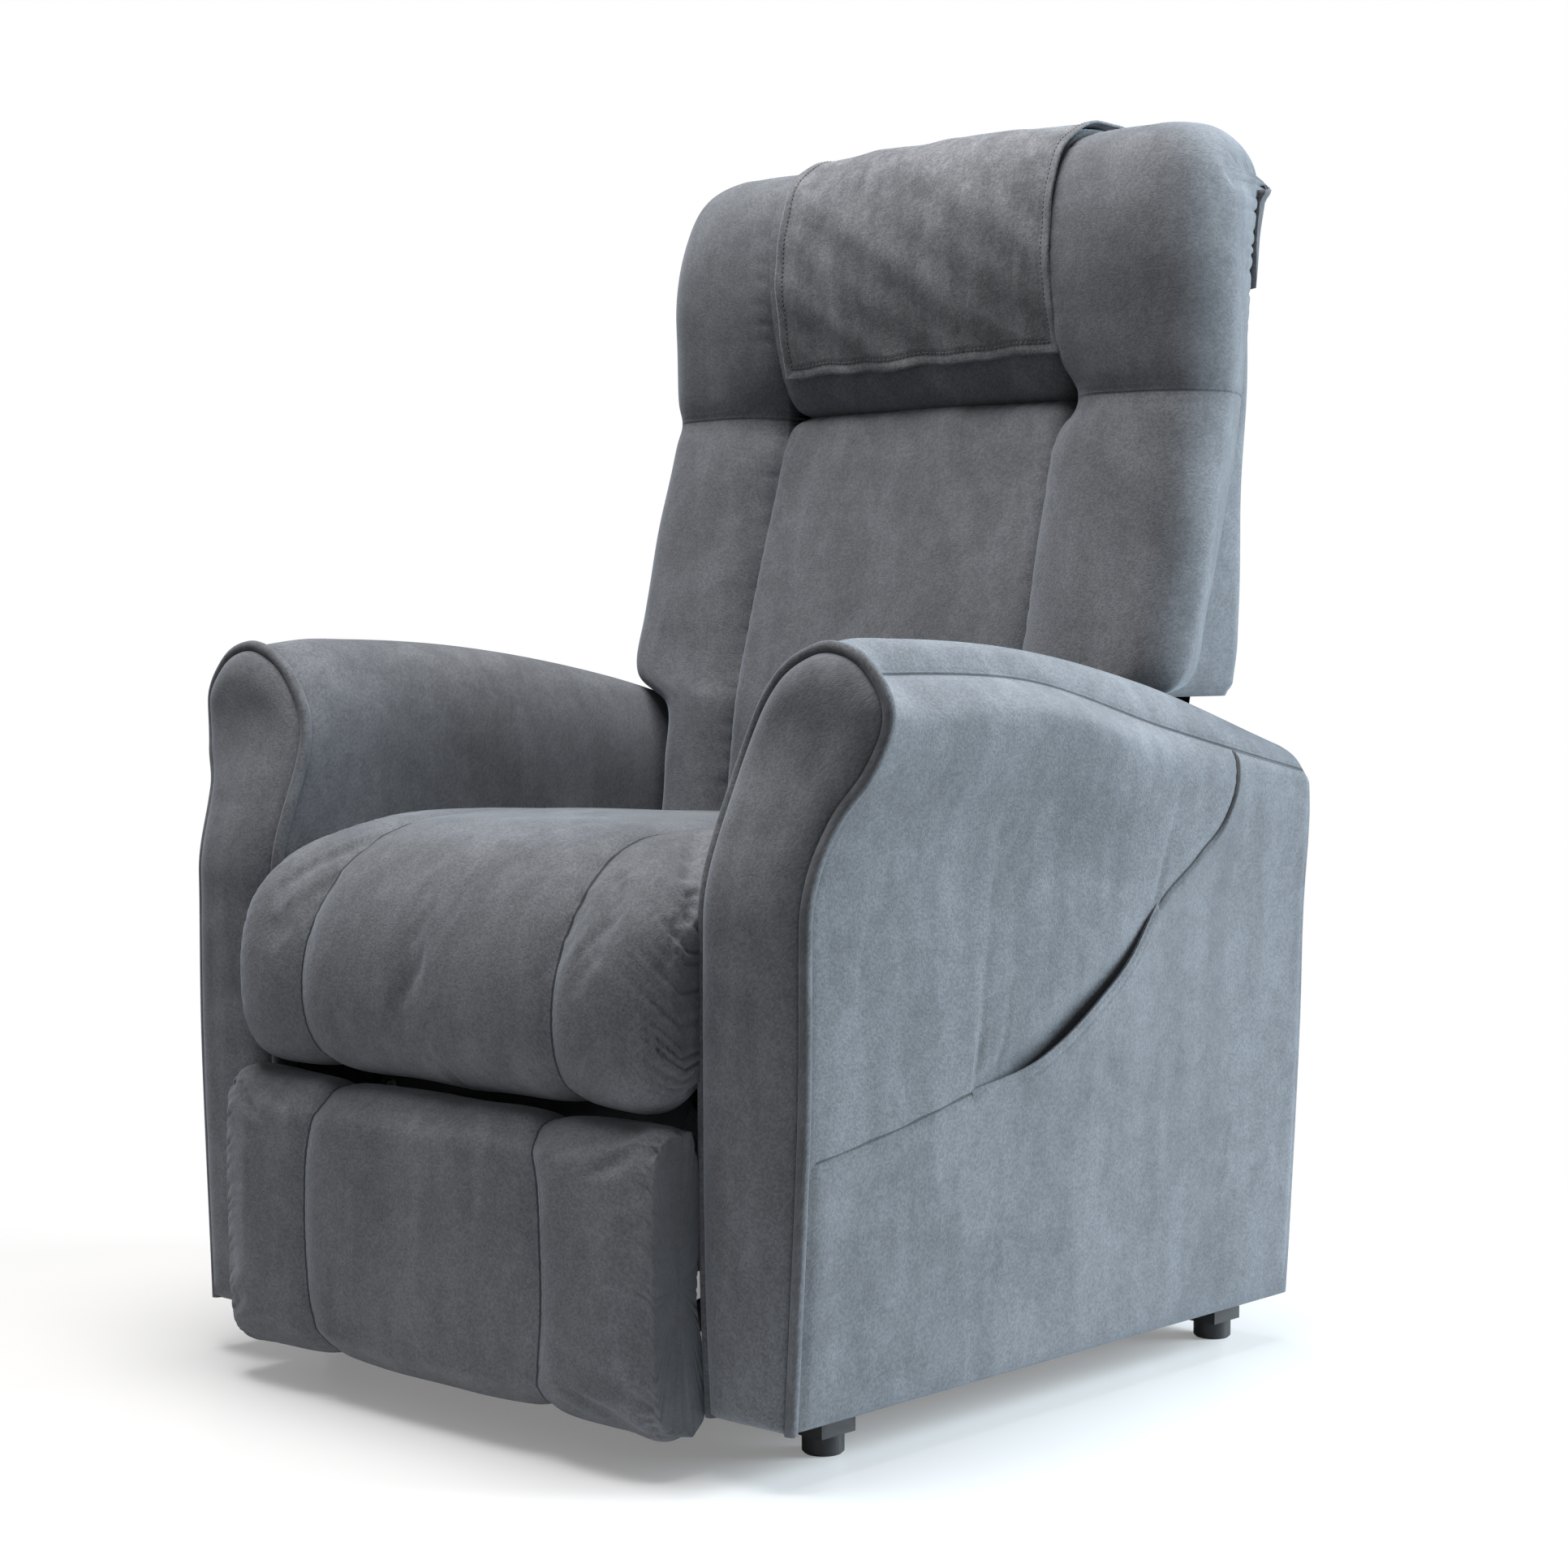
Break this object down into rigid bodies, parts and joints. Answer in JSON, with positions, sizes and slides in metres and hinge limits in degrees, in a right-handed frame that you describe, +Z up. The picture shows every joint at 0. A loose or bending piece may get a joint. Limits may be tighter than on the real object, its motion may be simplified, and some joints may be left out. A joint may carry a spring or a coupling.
{
  "type": "rise and recline armchair",
  "caption": "Upholstered power recliner armchair that lifts and tilts, with a folding footrest, reclining back, head cloth and side pockets.",
  "frame": {"origin": "on the floor, under the middle of the chair's outer box", "axes": "+Z up, -Y the sitter's front, +X the viewer's right seen from the front"},
  "size_m": [0.826, 0.8, 1.1143],
  "materials": {
    "upholstery": "brushed microfibre, blue-grey",
    "piping": "fabric-covered welt",
    "headrest_cloth": "hemmed microfibre cloth",
    "lining": "black woven lining and webbing",
    "black_steel": "satin black powder coat",
    "zinc_steel": "bright zinc plate",
    "black_plastic": "moulded, fine texture",
    "timber": "unfinished plywood and softwood"
  },
  "bodies": {
    "base": {"base_front_rail": "black_steel", "base_rear_rail": "black_steel", "base_side_rails": "black_steel", "floor_glides": "black_plastic", "tube_end_caps": "black_plastic", "base_brackets": "black_steel", "base_pivot_pins": "zinc_steel", "lift_motor_bracket": "black_steel"},
    "lift_arms": {"lift_arms": "black_steel", "torque_tube": "black_steel", "lift_crank": "black_steel", "lift_crank_pin": "zinc_steel"},
    "control_links": {"control_links": "black_steel"},
    "lift_motor": {"lift_motor": "black_plastic"},
    "lift_motor_rod": {"lift_motor_rod": "zinc_steel"},
    "chair_body": {"seat_side_rails": "black_steel", "seat_front_tube": "black_steel", "seat_rear_tube": "black_steel", "motor_cross_bar": "black_steel", "back_motor_bracket": "black_steel", "footrest_mounts": "black_steel", "chair_body_pins": "zinc_steel", "seat_springs": "zinc_steel", "control_box": "black_plastic", "seat_cushion": "upholstery", "arm_frames": "timber", "arm_pad_left": "upholstery", "arm_pad_right": "upholstery", "arm_front_left": "upholstery", "arm_front_right": "upholstery", "arm_piping_left": "piping", "arm_piping_right": "piping", "pocket_panel_left": "upholstery", "pocket_panel_right": "upholstery", "arm_bolts": "zinc_steel", "rear_panel": "upholstery", "back_brackets": "black_steel"},
    "backrest": {"back_posts": "timber", "back_lower_rail": "timber", "back_top_rail": "timber", "back_webbing": "lining", "back_hinge_plates": "black_steel", "back_crank": "black_steel", "back_crank_pin": "zinc_steel", "back_bolster_left": "upholstery", "back_bolster_right": "upholstery", "lumbar_cushion": "upholstery", "head_cushion": "upholstery", "headrest_cover": "headrest_cloth", "back_shell": "upholstery", "back_skirt": "lining"},
    "back_motor": {"back_motor": "black_plastic"},
    "back_motor_rod": {"back_motor_rod": "zinc_steel"},
    "footrest_rear_links": {"footrest_rear_links": "black_steel", "footrest_elbow_pins": "zinc_steel"},
    "footrest_front_links": {"footrest_front_links": "black_steel", "footrest_board_pins": "zinc_steel"},
    "footrest": {"footrest_brackets": "black_steel", "footrest_board": "timber", "footrest_pad": "upholstery"}
  },
  "joints": [
    {"name": "lift_raise", "type": "hinge", "parent": "base", "child": "lift_arms", "pos_m": [0, 0.22, 0.095], "axis": [-1, 0, 0], "range_deg": [0, 42]},
    {"name": "body_tilt", "type": "hinge", "parent": "lift_arms", "child": "chair_body", "pos_m": [0, -0.2, 0.17], "axis": [1, 0, 0], "range_deg": [0, 60.5]},
    {"name": "control_link_swing", "type": "hinge", "parent": "base", "child": "control_links", "pos_m": [0, 0.293, 0.076], "axis": [-1, 0, 0], "range_deg": [0, 40.12]},
    {"name": "lift_motor_swing", "type": "hinge", "parent": "base", "child": "lift_motor", "pos_m": [0, -0.205, 0.075], "axis": [-1, 0, 0], "range_deg": [0, 4.03]},
    {"name": "lift_rod_travel", "type": "slide", "parent": "lift_motor", "child": "lift_motor_rod", "axis": [0, 0.949, 0.3152], "range_m": [0, 0.0787]},
    {"name": "back_recline", "type": "hinge", "parent": "chair_body", "child": "backrest", "pos_m": [0, 0.25, 0.5], "axis": [-1, 0, 0], "range_deg": [0, 36]},
    {"name": "back_motor_swing", "type": "hinge", "parent": "chair_body", "child": "back_motor", "pos_m": [0, -0.06, 0.13], "axis": [-1, 0, 0], "range_deg": [-3.41, 0]},
    {"name": "back_rod_travel", "type": "slide", "parent": "back_motor", "child": "back_motor_rod", "axis": [0, 0.7735, 0.6338], "range_m": [-0.0519, 0]},
    {"name": "footrest_extend", "type": "hinge", "parent": "chair_body", "child": "footrest_rear_links", "pos_m": [0, -0.26, 0.245], "axis": [-1, 0, 0], "range_deg": [0, 134]},
    {"name": "footrest_unfold", "type": "hinge", "parent": "footrest_rear_links", "child": "footrest_front_links", "pos_m": [0, -0.109, 0.131], "axis": [-1, 0, 0], "range_deg": [-87.45, 0]},
    {"name": "footrest_turn", "type": "hinge", "parent": "footrest_front_links", "child": "footrest", "pos_m": [0, -0.325, 0.09], "axis": [-1, 0, 0], "range_deg": [0, 43.45]}
  ],
  "couplings": [
    {"joint": "body_tilt", "follows": "lift_raise", "ratio": 1.4286},
    {"joint": "control_link_swing", "follows": "lift_raise", "ratio": 0.94322},
    {"joint": "lift_motor_swing", "follows": "lift_raise", "ratio": 0.084022},
    {"joint": "lift_rod_travel", "follows": "lift_raise", "m_per_rad": 0.10597},
    {"joint": "back_motor_swing", "follows": "back_recline", "ratio": -0.080768},
    {"joint": "back_rod_travel", "follows": "back_recline", "m_per_rad": -0.081036},
    {"joint": "footrest_unfold", "follows": "footrest_extend", "ratio": -0.6489},
    {"joint": "footrest_turn", "follows": "footrest_extend", "ratio": 0.32054}
  ]
}
